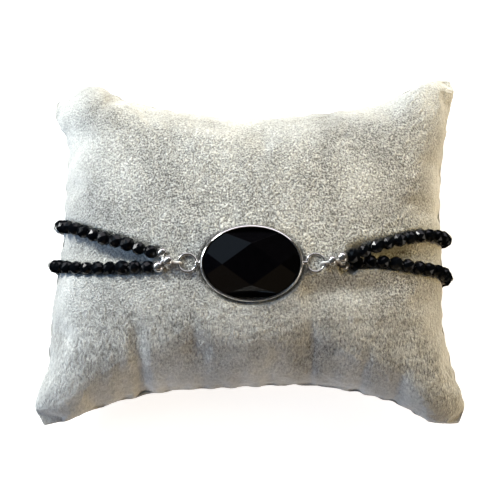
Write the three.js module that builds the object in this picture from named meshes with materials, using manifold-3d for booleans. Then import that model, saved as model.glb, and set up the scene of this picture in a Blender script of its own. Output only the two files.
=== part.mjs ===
// A two-strand stretch bracelet with an oval stone connector, worn by its plush display pillow.
// Millimetres. X runs along the bracelet, Y to the pillow's back edge, Z up; the pillow rests on Z = 0.
import * as THREE from 'three';
import { ConvexGeometry } from 'three/addons/geometries/ConvexGeometry.js';
import { ParametricGeometry } from 'three/addons/geometries/ParametricGeometry.js';
import { mergeGeometries, mergeVertices } from 'three/addons/utils/BufferGeometryUtils.js';
import Module from 'manifold-3d';

const wasm = await Module();
wasm.setup();

// ---- driving dimensions -------------------------------------------------------------------------
const CLEARANCE = 0.3; // between pieces that touch on the real bracelet

const PILLOW = {
  seamHeight: 12.5, // of the seam above the table, along the sides
  cornerSeamHeight: 8.5, // of the seam at the four ears
  crown: 15, // of the upper sheet above the seam
  belly: 20, // of the lower sheet below the seam, before the table flattens it
  roundness: 0.5, // power of the fullness: 0.5 is an elliptical edge
  cells: 20, // of the sheets' grid, each way
};
// The seam's plan, one table for each side, from one ear to the next.
const RIGHT_SIDE = [ // [y, x]
  [-37.1, 43.4], [-33.8, 44.6], [-27.3, 42.8], [-19.3, 40.4], [-5.3, 40.4],
  [6.7, 40.2], [20.7, 41.4], [31.7, 43.7], [35.4, 44.5], [37.6, 43.8],
];
const LEFT_SIDE = [ // [y, x]
  [-37.6, -42.9], [-34.8, -44.5], [-25.3, -42.4], [-13.3, -41.3], [1.7, -39.6],
  [12.7, -39.2], [23.7, -39.3], [30.0, -42.2], [33.3, -41.8],
];
const BACK_SIDE = [ // [x, y]
  [-41.8, 33.3], [-35.1, 35.9], [-26.6, 32.9], [-14.6, 29.7], [0.9, 28.2],
  [17.4, 29.9], [28.4, 32.3], [38.4, 37.2], [43.8, 37.6],
];
const FRONT_SIDE = [ // [x, y]
  [-42.9, -37.6], [-37.6, -36.9], [-30.6, -34.3], [-18.6, -31.4], [0.4, -30.4],
  [17.4, -30.7], [30.4, -33.9], [37.4, -37.1], [43.4, -37.1],
];

const CONNECTOR = { x: 0.2, y: -6.5, z: 25.8, tilt: THREE.MathUtils.degToRad(16) }; // middle of its back
const STONE = { halfLength: 9.5, halfWidth: 7, girdleLow: 1.5, girdleHigh: 2.2, tableHeight: 4.7 };
const BEZEL = { wall: 0.45, back: 0.5, height: 2.6 };
const RING = { wireRadius: 0.28, radius: 1.77, fromMiddle: 12.85, height: 1.25 };
const SOLDER = { fromMiddle: 10.5, halfLength: 0.7, radius: 0.5 };

const THREAD_SLACK = 0.2; // round the ring's wire
const THREAD = { radius: 0.25, knuckleRadius: 0.29, sides: 6 };
const SILVER_BORE = THREAD.radius + CLEARANCE;
const ROUND_SIDES = 12;

const BLACK_BEAD = { radius: 1.5, faceRadius: 0.8, pitch: 2.7, girdle: 0.3, sides: 8 };
const BEADS_PER_SEGMENT = 7;

// Centre lines of the two strands of black beads, from the left end beads round the pillow to the right.
const BACK_STRAND = [ // [x, y, z]
  [-19.5, -3.8, 25.9], [-22.6, -3.1, 25.3], [-25.2, -2.4, 24.6], [-30.3, -0.7, 22.8], [-35.2, 1.5, 19.8],
  [-38.5, 3, 16.5], [-40.2, 4, 12], [-39, 4.6, 6.5], [-35.3, 4.8, 2.6], [-30, 4.7, 1.6], [-25, 4.5, 1.6],
  [0, 3.6, 1.6], [25, 2.4, 1.6], [30, 2.2, 1.6], [36, 1.9, 2.6], [40, 1.5, 6.8], [41.2, 1, 12.2],
  [39.3, 0.8, 16.8], [36, 0.4, 20], [31.5, -1, 22.8], [27, -2.6, 24.9], [24.2, -3.8, 26], [21.1, -5.1, 26.8],
];
const FRONT_STRAND = [ // [x, y, z]
  [-20.4, -8, 25.2], [-23.2, -7.5, 24.9], [-28.4, -7.3, 23.5], [-33.5, -6.8, 21.3], [-38, -5.9, 18],
  [-41.2, -4.6, 12.5], [-40, -3.9, 6.8], [-36, -3.6, 2.6], [-30.5, -3.8, 1.6], [-25, -4, 1.6],
  [0, -5, 1.6], [25, -6.2, 1.6], [30.5, -6.4, 1.6], [36.2, -6.7, 2.6], [40.2, -6.9, 6.8], [41.2, -7, 12],
  [39.4, -6.5, 16.6], [36, -6.2, 19.8], [31.5, -5.9, 22.3], [26.3, -5.7, 23.6], [23.5, -6.6, 23.8],
  [20.4, -7.4, 23.4],
];
const END_BEADS = { // [x, y, z, radius] of the small silver beads at each end of the connector
  left: { common: [-16.7, -6.85, 27.1, 1.1], back: [-18.7, -5.2, 26.4, 1.1], front: [-19, -7.6, 26, 1.15] },
  right: { common: [17, -6.85, 27.1, 1.1], back: [19.6, -5.9, 27, 1.15], front: [19.2, -7, 24.5, 1.1] },
};

// ---- materials ----------------------------------------------------------------------------------
const PLUSH = { color: 0xb4b2ac, roughness: 0.95, metalness: 0 };
const BLACK_STONE = { color: 0x0b0b0e, roughness: 0.12, metalness: 0 };
const SILVER = { color: 0xd9d8d6, roughness: 0.15, metalness: 1 };
const ELASTIC = { color: 0xe6e4e0, roughness: 0.4, metalness: 0 };

const assembly = new THREE.Group();

function addPart(name, geometry, finish, parent = assembly) {
  const part = new THREE.Mesh(geometry, new THREE.MeshStandardMaterial(finish));
  part.name = name;
  parent.add(part);
  return part;
}

// ---- solids -------------------------------------------------------------------------------------
function closed(geometry) {
  const bare = geometry.clone();
  bare.deleteAttribute('normal');
  bare.deleteAttribute('uv');
  return mergeVertices(bare, 1e-5);
}

function toSolid(geometry) {
  const merged = closed(geometry);
  const vertProperties = new Float32Array(merged.attributes.position.array);
  const triVerts = new Uint32Array(merged.index.array);
  return new wasm.Manifold(new wasm.Mesh({ numProp: 3, vertProperties, triVerts }));
}

function toGeometry(solid) {
  const mesh = solid.getMesh();
  const geometry = new THREE.BufferGeometry();
  geometry.setAttribute('position', new THREE.BufferAttribute(mesh.vertProperties, 3));
  geometry.setIndex(new THREE.BufferAttribute(mesh.triVerts, 1));
  return geometry;
}

const joined = (geometries) => toGeometry(geometries.map(toSolid).reduce((sum, next) => sum.add(next)));

// ---- pillow -------------------------------------------------------------------------------------
const smoothThrough = (rows) => {
  const spline = new THREE.CubicInterpolant(rows.map((row) => row[0]), rows.map((row) => row[1]), 1);
  return (u) => spline.evaluate(THREE.MathUtils.clamp(u, rows[0][0], rows.at(-1)[0]))[0];
};
const rightOf = smoothThrough(RIGHT_SIDE);
const leftOf = smoothThrough(LEFT_SIDE);
const backOf = smoothThrough(BACK_SIDE);
const frontOf = smoothThrough(FRONT_SIDE);

// The plan point that lies s of the way from the left side to the right and t from front to back,
// both from -1 to 1. Each side bends with the other coordinate, so the point is settled step by step.
function planPoint(s, t) {
  const SETTLING_STEPS = 60;
  let x = s * rightOf(0);
  let y = t * backOf(0);
  for (let step = 0; step < SETTLING_STEPS; step++) {
    const nextX = THREE.MathUtils.lerp(leftOf(y), rightOf(y), (s + 1) / 2);
    const nextY = THREE.MathUtils.lerp(frontOf(x), backOf(x), (t + 1) / 2);
    x = (x + nextX) / 2;
    y = (y + nextY) / 2;
  }
  return [x, y];
}

// One sheet of the pillow: height over the seam grows with the fullness, which is 1 in the middle,
// 0 on the seam, and falls off fastest towards the ears.
function pillowSheet(sheetHeight, facing) {
  const edgeSpacing = (share) => Math.sin((share - 0.5) * Math.PI); // finer towards the seam
  return new ParametricGeometry((u, v, target) => {
    const s = edgeSpacing(facing > 0 ? u : 1 - u);
    const t = edgeSpacing(v);
    const seam = THREE.MathUtils.lerp(PILLOW.seamHeight, PILLOW.cornerSeamHeight, s * s * t * t);
    const fullness = ((1 - s * s) * (1 - t * t)) ** PILLOW.roundness;
    target.set(...planPoint(s, t), sheetHeight(seam, fullness));
  }, PILLOW.cells, PILLOW.cells);
}

function pillowBody() {
  const upper = pillowSheet((seam, fullness) => seam + PILLOW.crown * fullness, 1);
  const lower = pillowSheet((seam, fullness) => Math.max(0, seam - PILLOW.belly * fullness), -1);
  return mergeGeometries([upper, lower]);
}

// ---- strands of black beads ---------------------------------------------------------------------
function strandLine(rows) {
  const line = new THREE.CatmullRomCurve3(rows.map((row) => new THREE.Vector3(...row)));
  line.arcLengthDivisions = 1200;
  return line;
}

// A straight row of faceted beads turned about Y, threaded from y = 0 up.
function beadRow(count, pitch) {
  const { radius, faceRadius, girdle, sides } = BLACK_BEAD;
  const profile = [new THREE.Vector2(0, 0)];
  for (let bead = 0; bead < count; bead++) {
    const middle = (bead + 0.5) * pitch;
    profile.push(new THREE.Vector2(faceRadius, bead * pitch));
    profile.push(new THREE.Vector2(radius, middle - girdle));
    profile.push(new THREE.Vector2(radius, middle + girdle));
  }
  profile.push(new THREE.Vector2(faceRadius, count * pitch));
  profile.push(new THREE.Vector2(0, count * pitch));
  return closed(new THREE.LatheGeometry(profile, sides));
}

// Lays a row that stands along Y on a strand, its foot at the given distance from the strand's start.
function laidAlong(line, row, startAt) {
  const length = line.getLength();
  const place = row.attributes.position;
  const across = new THREE.Vector3(0, 1, 0);
  for (let i = 0; i < place.count; i++) {
    const share = (startAt + place.getY(i)) / length;
    const forward = line.getTangentAt(share);
    const outward = new THREE.Vector3().crossVectors(forward, across).normalize();
    const sideways = new THREE.Vector3().crossVectors(outward, forward);
    const point = line.getPointAt(share);
    point.addScaledVector(outward, place.getX(i));
    point.addScaledVector(sideways, place.getZ(i));
    place.setXYZ(i, point.x, point.y, point.z);
  }
  return row;
}

function addStrand(name, line) {
  const beads = Math.round(line.getLength() / BLACK_BEAD.pitch);
  const pitch = line.getLength() / beads;
  const segments = Math.round(beads / BEADS_PER_SEGMENT);
  let laid = 0;
  for (let segment = 1; segment <= segments; segment++) {
    const upTo = Math.round((beads * segment) / segments);
    const count = upTo - laid;
    const fit = (count * pitch - CLEARANCE) / count;
    const row = laidAlong(line, beadRow(count, fit), laid * pitch + CLEARANCE / 2);
    addPart(`${name}_${segment}`, row, BLACK_STONE);
    laid = upTo;
  }
}

// ---- thread and silver beads --------------------------------------------------------------------
function rodBetween(start, end, radius) {
  const rod = new THREE.CylinderGeometry(radius, radius, start.distanceTo(end), THREAD.sides);
  const along = new THREE.Vector3().subVectors(end, start).normalize();
  rod.applyQuaternion(new THREE.Quaternion().setFromUnitVectors(new THREE.Vector3(0, 1, 0), along));
  const middle = new THREE.Vector3().lerpVectors(start, end, 0.5);
  return rod.translate(middle.x, middle.y, middle.z);
}

// Thread laid straight from point to point, with a knuckle at each; spare is room left round it.
function threadThrough(points, spare = 0) {
  const KNUCKLE_SIDES = 6;
  const pieces = [];
  points.forEach((point, i) => {
    const knuckle = new THREE.SphereGeometry(THREAD.knuckleRadius + spare, KNUCKLE_SIDES, KNUCKLE_SIDES / 2);
    pieces.push(knuckle.translate(point.x, point.y, point.z));
    if (i > 0) pieces.push(rodBetween(points[i - 1], point, THREAD.radius + spare));
  });
  return pieces;
}

// A round bead bored along Y: its arc runs from one end of the bore to the other.
function silverBeadShape(radius) {
  const ARC_STEPS = 6;
  const mouth = Math.acos(SILVER_BORE / radius);
  const profile = [];
  for (let step = 0; step <= ARC_STEPS; step++) {
    const angle = THREE.MathUtils.lerp(-mouth, mouth, step / ARC_STEPS);
    profile.push(new THREE.Vector2(radius * Math.cos(angle), radius * Math.sin(angle)));
  }
  profile.push(profile[0]);
  return closed(new THREE.LatheGeometry(profile, ROUND_SIDES));
}

function addSilverBead(name, [x, y, z, radius], along) {
  const bead = addPart(name, silverBeadShape(radius), SILVER);
  bead.position.set(x, y, z);
  bead.quaternion.setFromUnitVectors(new THREE.Vector3(0, 1, 0), along);
}

const threadDents = []; // room for the thread in the plush

// One end of the connector: the thread loops round the ring's wire, runs double through the common
// bead and parts to one end bead for each strand. Outward is -1 on the left and 1 on the right.
function addStrandEnds(side, outward, wirePoint, strandStarts) {
  const TURN = RING.wireRadius + THREAD_SLACK + THREAD.radius;
  const PAST_BEAD = 0.3;
  const { common, back, front } = END_BEADS[side];
  const middle = new THREE.Vector3(...common);
  const reach = common[3] + PAST_BEAD;
  const parting = middle.clone().add(new THREE.Vector3(outward * reach, 0, 0));
  const meeting = wirePoint.clone().add(new THREE.Vector3(outward * TURN, 0, 0));

  const loop = new THREE.TorusGeometry(TURN, THREAD.radius, THREAD.sides, ROUND_SIDES);
  loop.rotateX(Math.PI / 2).translate(...wirePoint.toArray());
  const thread = [loop, ...threadThrough([meeting, parting])];

  [['back', back], ['front', front]].forEach(([strand, bead]) => {
    const centre = new THREE.Vector3(...bead);
    const along = new THREE.Vector3().subVectors(centre, parting).normalize();
    const leaving = centre.clone().addScaledVector(along, bead[3] + PAST_BEAD);
    const branch = [parting, leaving, strandStarts[strand]];
    thread.push(...threadThrough(branch));
    threadDents.push(...threadThrough(branch, CLEARANCE));
    addSilverBead(`silver_bead_${side}_${strand}`, bead, along);
  });
  addSilverBead(`silver_bead_${side}_common`, common, new THREE.Vector3(outward, 0, 0));
  addPart(`thread_${side}`, joined(thread), ELASTIC);
}

// ---- connector ----------------------------------------------------------------------------------
function ovalPlate(halfLength, halfWidth, thickness, hole) {
  const OVAL_STEPS = 16;
  const outline = new THREE.Shape().absellipse(0, 0, halfLength, halfWidth, 0, 2 * Math.PI);
  if (hole) outline.holes.push(new THREE.Path().absellipse(0, 0, ...hole, 0, 2 * Math.PI));
  const options = { depth: thickness, bevelEnabled: false, curveSegments: OVAL_STEPS };
  return new THREE.ExtrudeGeometry(outline, options);
}

const bezelHole = [STONE.halfLength + CLEARANCE, STONE.halfWidth + CLEARANCE];
const bezelHalf = bezelHole.map((half) => half + BEZEL.wall);

// The oval cup, its two rings and their solder: one piece of silver.
function bezelWithRings() {
  const pieces = [
    ovalPlate(...bezelHalf, BEZEL.height, bezelHole),
    ovalPlate(...bezelHalf, BEZEL.back),
  ];
  [-1, 1].forEach((side) => {
    const ring = new THREE.TorusGeometry(RING.radius, RING.wireRadius, 6, 20);
    const solder = new THREE.SphereGeometry(SOLDER.radius, 10, 6);
    solder.scale(SOLDER.halfLength / SOLDER.radius, 1, 1);
    pieces.push(ring.translate(side * RING.fromMiddle, 0, RING.height));
    pieces.push(solder.translate(side * SOLDER.fromMiddle, 0, RING.height));
  });
  return joined(pieces);
}

// Faceted stone: a lozenge table, eight corners round it, and a girdle down to a small flat back.
function stoneShape() {
  const GIRDLE_STEPS = 24;
  const TABLE = [5.8, 4.2];
  const CORNERS = [[4.4, 5.6], [8.8, 2.1]];
  const CORNER_HEIGHT = 2.9;
  const BACK_SHARE = 0.75;
  const points = [];
  [-1, 1].forEach((sx) => {
    points.push(new THREE.Vector3(sx * TABLE[0], 0, STONE.tableHeight));
    points.push(new THREE.Vector3(0, sx * TABLE[1], STONE.tableHeight));
    [-1, 1].forEach((sy) => {
      CORNERS.forEach(([x, y]) => points.push(new THREE.Vector3(sx * x, sy * y, CORNER_HEIGHT)));
    });
  });
  const backHeight = BEZEL.back + CLEARANCE;
  for (let step = 0; step < GIRDLE_STEPS; step++) {
    const angle = (step / GIRDLE_STEPS) * 2 * Math.PI;
    const x = STONE.halfLength * Math.cos(angle);
    const y = STONE.halfWidth * Math.sin(angle);
    points.push(new THREE.Vector3(x, y, STONE.girdleLow), new THREE.Vector3(x, y, STONE.girdleHigh));
    points.push(new THREE.Vector3(x * BACK_SHARE, y * BACK_SHARE, backHeight));
  }
  return closed(new ConvexGeometry(points));
}

// ---- the dents that the bracelet presses into the plush -----------------------------------------
function strandGroove(line) {
  const GROOVE_STEPS = 52;
  const GROOVE_SIDES = 8;
  const reach = (BLACK_BEAD.radius + CLEARANCE) / Math.cos(Math.PI / GROOVE_SIDES);
  const section = new THREE.Shape().absellipse(0, 0, reach, reach, 0, 2 * Math.PI);
  const options = { steps: GROOVE_STEPS, curveSegments: GROOVE_SIDES / 2, extrudePath: line };
  return new THREE.ExtrudeGeometry(section, options);
}

function connectorDents() {
  const ABOVE = 6;
  const ringReach = RING.radius + RING.wireRadius + CLEARANCE;
  const ringFloor = RING.height - RING.wireRadius - CLEARANCE;
  const loopReach = RING.wireRadius + 2 * (THREAD.radius + CLEARANCE);
  const dents = [ovalPlate(...bezelHalf.map((half) => half + CLEARANCE), ABOVE).translate(0, 0, -CLEARANCE)];
  [-1, 1].forEach((side) => {
    const ringDent = new THREE.CylinderGeometry(ringReach, ringReach, ABOVE, ROUND_SIDES);
    ringDent.rotateX(Math.PI / 2);
    const loopDent = new THREE.SphereGeometry(loopReach, ROUND_SIDES, ROUND_SIDES / 2);
    const solderDent = new THREE.SphereGeometry(SOLDER.halfLength + CLEARANCE, ROUND_SIDES, ROUND_SIDES / 2);
    dents.push(solderDent.translate(side * SOLDER.fromMiddle, 0, RING.height));
    dents.push(ringDent.translate(side * RING.fromMiddle, 0, ringFloor + ABOVE / 2));
    dents.push(loopDent.translate(side * (RING.fromMiddle + RING.radius), 0, RING.height));
  });
  return dents.map((dent) => dent.applyMatrix4(connector.matrix));
}

function beadDents() {
  return Object.values(END_BEADS).flatMap(Object.values).map(([x, y, z, radius]) => {
    const dent = new THREE.SphereGeometry(radius + CLEARANCE, ROUND_SIDES, ROUND_SIDES / 2);
    return dent.translate(x, y, z);
  });
}

// ---- assembly -----------------------------------------------------------------------------------
const connector = new THREE.Group();
connector.position.set(CONNECTOR.x, CONNECTOR.y, CONNECTOR.z);
connector.rotation.x = CONNECTOR.tilt;
connector.updateMatrix();
assembly.add(connector);
addPart('bezel_with_rings', bezelWithRings(), SILVER, connector);
addPart('stone', stoneShape(), BLACK_STONE, connector);

const backLine = strandLine(BACK_STRAND);
const frontLine = strandLine(FRONT_STRAND);
addStrand('strand_back', backLine);
addStrand('strand_front', frontLine);

[['left', -1, 0], ['right', 1, 1]].forEach(([side, outward, end]) => {
  const wire = new THREE.Vector3(outward * (RING.fromMiddle + RING.radius), 0, RING.height);
  const startOf = (line) => {
    const off = line.getTangentAt(end).multiplyScalar(end ? 1 : -1);
    return line.getPointAt(end).addScaledVector(off, CLEARANCE);
  };
  const strandStarts = { back: startOf(backLine), front: startOf(frontLine) };
  addStrandEnds(side, outward, wire.applyMatrix4(connector.matrix), strandStarts);
});

const grooves = [strandGroove(backLine), strandGroove(frontLine)];
const dents = [...grooves, ...connectorDents(), ...beadDents(), ...threadDents];
const dentedPillow = dents.map(toSolid).reduce((left, dent) => left.subtract(dent), toSolid(pillowBody()));
addPart('pillow', toGeometry(dentedPillow), PLUSH);

export default assembly;
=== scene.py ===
import math

import bmesh
import bpy
import numpy as np
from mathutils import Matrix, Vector


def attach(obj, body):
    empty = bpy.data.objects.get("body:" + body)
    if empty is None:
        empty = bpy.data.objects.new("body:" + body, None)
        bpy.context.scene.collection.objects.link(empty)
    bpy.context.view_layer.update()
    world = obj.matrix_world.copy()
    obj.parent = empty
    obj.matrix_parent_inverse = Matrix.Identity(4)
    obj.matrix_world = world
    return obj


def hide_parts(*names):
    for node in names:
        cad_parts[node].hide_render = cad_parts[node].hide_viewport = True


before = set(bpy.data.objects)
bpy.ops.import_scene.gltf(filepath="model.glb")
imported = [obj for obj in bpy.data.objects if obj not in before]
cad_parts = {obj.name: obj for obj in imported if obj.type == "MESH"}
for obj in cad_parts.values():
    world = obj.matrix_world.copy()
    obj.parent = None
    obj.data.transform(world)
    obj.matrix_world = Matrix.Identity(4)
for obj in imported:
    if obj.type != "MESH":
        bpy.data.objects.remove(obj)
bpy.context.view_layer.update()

bl_info = {
    "name": "Connector Bracelet on a Display Pillow",
    "version": (1, 0, 0),
    "blender": (4, 5, 0),
    "location": "3D View > Sidebar > Bracelet",
    "description": "Makes a two-strand bracelet with an oval stone connector, worn by its plush pillow",
    "category": "Add Mesh",
}

MM = 0.001
BODY = "root"


# ---- sizes and colours a user would change ------------------------------------------------------
def length(name, description, default_mm):
    """A length property whose default is given in millimetres."""
    return bpy.props.FloatProperty(
        name=name, description=description, default=default_mm * MM, unit="LENGTH", precision=5
    )


def colour(name, description, default):
    """A colour property, in linear red, green and blue."""
    return bpy.props.FloatVectorProperty(
        name=name, description=description, default=default, subtype="COLOR", size=3, min=0, max=1
    )


def count(name, description, default):
    """A whole number of cells."""
    return bpy.props.IntProperty(name=name, description=description, default=default, min=3)


class PillowSettings(bpy.types.PropertyGroup):
    seam_height: length("Seam height", "Height of the seam over the table along the sides", 12.5)
    ear_height: length("Ear height", "Height of the seam over the table at the four ears", 8.5)
    crown: length("Crown", "Height of the upper sheet over the seam", 15)
    belly: length("Belly", "Depth of the lower sheet under the seam before the table flattens it", 20)
    cells_across: count("Cells across", "Grid cells of each sheet from side to side", 240)
    cells_back: count("Cells back", "Grid cells of each sheet from front to back", 200)
    pile_depth: length("Pile depth", "How far the plush's clumps stand out and lie back", 0.14)
    # The fibre tip colour is a painted highlight where light catches the pile, and the gap colour is
    # painted shade between the fibres, both over the pile's own grey.
    lit_tip: colour("Fibre tips", "Colour of the plush where light catches the fibres", (0.80, 0.79, 0.735))
    gap: colour("Fibre gaps", "Colour of the plush between the fibres", (0.13, 0.125, 0.115))


class BeadSettings(bpy.types.PropertyGroup):
    radius: length("Bead radius", "Radius of a black bead at its girdle", 1.5)
    pitch: length("Bead pitch", "Distance from one black bead to the next along the strand", 2.7)
    bore: length("Bore radius", "Radius of the hole through a black bead", 0.34)
    stone: colour("Bead colour", "Colour inside the black beads", (0.0018, 0.0022, 0.003))


class SettingSettings(bpy.types.PropertyGroup):
    half_length: length("Stone half length", "Half the stone's length at its girdle", 9.75)
    half_width: length("Stone half width", "Half the stone's width at its girdle", 7.25)
    bezel_height: length("Bezel height", "Height of the bezel's lip over its back", 2.72)
    stone: colour("Stone colour", "Colour inside the stone", (0.0012, 0.0011, 0.0015))
    silver: colour("Silver colour", "Colour of the polished silver", (0.86, 0.845, 0.83))
    elastic: colour("Elastic colour", "Colour of the elastic thread", (0.72, 0.71, 0.69))


class StageSettings(bpy.types.PropertyGroup):
    floor: colour("Floor", "Colour of the floor", (0.55, 0.55, 0.55))
    camera_distance: length("Camera distance", "From the camera to the middle of the pillow", 285)


# ---- surfaces -----------------------------------------------------------------------------------
def mesh_piece(name, vertices, faces, smooth=True):
    """An object at the origin whose mesh has these vertices and these arrays of faces."""
    mesh = bpy.data.meshes.new(name)
    corners = [face for array in faces for face in array.tolist()]
    mesh.from_pydata(vertices.tolist(), [], corners)
    mesh.polygons.foreach_set("use_smooth", np.full(len(corners), smooth))
    mesh.update()
    piece = bpy.data.objects.new(name, mesh)
    bpy.context.scene.collection.objects.link(piece)
    return piece


def grid_quads(index):
    """Quads between neighbouring rows and columns of a grid of vertex numbers."""
    corners = [index[:-1, :-1], index[1:, :-1], index[1:, 1:], index[:-1, 1:]]
    return np.stack(corners, axis=-1).reshape(-1, 4)


def ring_quads(index):
    """Quads of a grid whose rows run round and close on themselves."""
    return grid_quads(np.concatenate([index, index[:, :1]], axis=1))


def closed_quads(index):
    """Quads of a grid that closes on itself both ways, as a ring's skin does."""
    return ring_quads(np.concatenate([index, index[:1]]))


def vertex_normals(vertices, quads):
    """Unit normals: at each vertex the cross products of the diagonals of its quads are added up."""
    diagonal = vertices[quads[:, 2]] - vertices[quads[:, 0]]
    across = vertices[quads[:, 3]] - vertices[quads[:, 1]]
    facing = np.cross(diagonal, across)
    total = np.zeros_like(vertices)
    for corner in range(4):
        for axis in range(3):
            total[:, axis] += np.bincount(quads[:, corner], facing[:, axis], len(vertices))
    return total / np.linalg.norm(total, axis=1, keepdims=True)


def unit(vectors):
    """The same directions with length 1."""
    return vectors / np.linalg.norm(vectors, axis=-1, keepdims=True)


def around(sides):
    """This many even angles of a full turn."""
    return np.arange(sides) * 2 * np.pi / sides


def circle(angle, half_length=1.0, half_width=1.0):
    """Points at these angles on an oval that lies flat round the origin."""
    return np.stack([half_length * np.cos(angle), half_width * np.sin(angle), 0 * angle], -1)


def lerp(a, b, share):
    """The value that lies the given share of the way from a to b."""
    return a + (b - a) * share


def smoothstep(low, high, value):
    """0 below low, 1 above high, and an S-curve between them."""
    share = np.clip((value - low) / (high - low), 0, 1)
    return share * share * (3 - 2 * share)


# ---- curves -------------------------------------------------------------------------------------
def smooth_through(rows, u):
    """Cubic curve through rows of (u, value): each row's slope is taken from the rows beside it."""
    knots, values = np.array(rows, float).T
    u = np.clip(u, knots[0], knots[-1])
    slopes = np.gradient(values, knots)
    i = np.clip(np.searchsorted(knots, u) - 1, 0, len(knots) - 2)
    step = knots[i + 1] - knots[i]
    t = (u - knots[i]) / step
    here = (2 * t**3 - 3 * t**2 + 1) * values[i] + (t**3 - 2 * t**2 + t) * step * slopes[i]
    there = (3 * t**2 - 2 * t**3) * values[i + 1] + (t**3 - t**2) * step * slopes[i + 1]
    return here + there


def spline(points, per_span=60, closed=False):
    """Centripetal Catmull-Rom curve through points, with per_span samples in each span.

    The knots are apart by the square root of the distance, and each span is the cubic whose end
    slopes come from the points beside it."""
    points = np.array(points, float)
    if closed:
        padded = np.concatenate([points[-1:], points, points[:2]])
    else:
        padded = np.concatenate([[2 * points[0] - points[1]], points, [2 * points[-1] - points[-2]]])
    apart = np.sqrt(np.linalg.norm(np.diff(padded, axis=0), axis=-1))[:, None, None]
    p0, p1, p2, p3 = (padded[k : len(padded) - 3 + k, None, :] for k in range(4))
    d0, d1, d2 = (apart[k : len(apart) - 2 + k] for k in range(3))
    m1 = ((p1 - p0) / d0 - (p2 - p0) / (d0 + d1) + (p2 - p1) / d1) * d1
    m2 = ((p2 - p1) / d1 - (p3 - p1) / (d1 + d2) + (p3 - p2) / d2) * d1
    t = (np.arange(per_span) / per_span)[None, :, None]
    curve = (2 * t**3 - 3 * t**2 + 1) * p1 + (t**3 - 2 * t**2 + t) * m1
    curve = curve + (3 * t**2 - 2 * t**3) * p2 + (t**3 - t**2) * m2
    curve = curve.reshape(-1, 3)
    return curve if closed else np.concatenate([curve, points[-1:]])


def along_path(path, distances):
    """(points, unit directions) of a polyline at these distances from its start."""
    steps = np.linalg.norm(np.diff(path, axis=0), axis=1)
    reached = np.concatenate([[0], np.cumsum(steps)])

    def at(places):
        return np.stack([np.interp(places, reached, path[:, k]) for k in range(3)], -1)

    near = 0.05 * MM
    return at(distances), unit(at(distances + near) - at(distances - near))


def path_length(path):
    """Length of a polyline."""
    return float(np.linalg.norm(np.diff(path, axis=0), axis=1).sum())


# ---- the pillow's plan and the bracelet's route, in millimetres ---------------------------------
RIGHT_SIDE = [  # y, x
    (-37.1, 43.4), (-33.8, 44.6), (-27.3, 43.0), (-19.3, 41.1), (-5.3, 40.9),
    (6.7, 40.7), (20.7, 41.8), (31.7, 43.7), (35.4, 44.5), (37.6, 43.8),
]
LEFT_SIDE = [  # y, x
    (-37.6, -42.9), (-34.8, -44.5), (-25.3, -42.7), (-13.3, -41.7), (1.7, -40.2),
    (12.7, -39.9), (23.7, -39.9), (29, -42.6), (32.6, -42.4),
]
BACK_SIDE = [  # x, y
    (-42.4, 32.6), (-35.1, 35.9), (-26.6, 32.9), (-14.6, 29.7), (0.9, 28.2),
    (17.4, 29.9), (28.4, 32.3), (38.4, 37.2), (43.8, 37.6),
]
FRONT_SIDE = [  # x, y
    (-42.9, -37.6), (-37.6, -36.9), (-30.6, -34.3), (-18.6, -31.4), (0.4, -30.4),
    (17.4, -30.7), (30.4, -33.9), (37.4, -37.1), (43.4, -37.1),
]
BACK_STRAND = [  # x, y, z
    (-18.75, -4.7, 26.2), (-22.6, -3.5, 25.4), (-25.2, -2.4, 24.7), (-30.3, -0.7, 22.8),
    (-35.3, 1.6, 19.8), (-38.5, 3, 16.5), (-40.2, 4, 12), (-39, 4.6, 6.5), (-35.3, 4.8, 2.6),
    (-30, 4.7, 1.6), (-25, 4.5, 1.6), (0, 3.6, 1.6), (25, 2.4, 1.6), (30, 2.2, 1.6), (36, 1.9, 2.6),
    (40, 1.5, 6.8), (41.2, 1, 12.2), (39.3, 0.8, 16.8), (36, 0.4, 20), (31.8, -0.8, 22.8),
    (27.7, -2.2, 24.4), (23.9, -3.7, 25.6), (19.4, -5.8, 26.6),
]
FRONT_STRAND = [  # x, y, z
    (-19.3, -7.5, 25.9), (-23.2, -7.35, 25.1), (-28.4, -7.2, 23.6), (-33.5, -6.8, 21.3),
    (-38, -5.9, 18), (-41.2, -4.6, 12.5), (-40, -3.9, 6.8), (-36, -3.6, 2.6), (-30.5, -3.8, 1.6),
    (-25, -4, 1.6), (0, -5, 1.6), (25, -6.2, 1.6), (30.5, -6.4, 1.6), (36.2, -6.7, 2.6),
    (40.2, -6.9, 6.8), (41.2, -7, 12), (39.4, -6.6, 16.6), (36.4, -6.6, 19.4), (33.7, -6.5, 21.2),
    (29.2, -6.1, 23), (24, -5.9, 23.9), (20.2, -6.6, 23.8),
]
SILVER_BEADS = {  # x, y, z, radius, length along its bore as a share of a round bead's
    ("left", "common"): (-16.45, -6.45, 27.4, 1.1, 0.92),
    ("left", "back"): (-17.7, -4.65, 26.4, 1.12, 0.92),
    ("left", "front"): (-18.4, -7.5, 26.5, 1.22, 0.92),
    ("right", "common"): (16.35, -6.45, 27.4, 1.15, 0.8),
    ("right", "back"): (18.35, -5.8, 27.2, 1.28, 0.85),
    ("right", "front"): (18.8, -7, 24.6, 1.1, 0.9),
}
CONNECTOR_PLACE = (0.2, -6.5, 25.8)  # middle of its back
CONNECTOR_TILT = math.radians(16)  # its front side lies lower
RING_OUT, RING_RISE = 12.85, 1.25  # of a ring's middle from the middle of the connector's back
RING_RADIUS, RING_WIRE = 1.82, 0.29
RING_LIFT = math.radians(14)  # turns the rings' front sides up, back towards level
THREAD_RADIUS = 0.24
BED_ROOM = 0.06 * MM  # between the plush and what presses into it


def in_metres(points):
    """Points given in millimetres, as an array in metres."""
    return np.array(points, float) * MM


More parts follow.
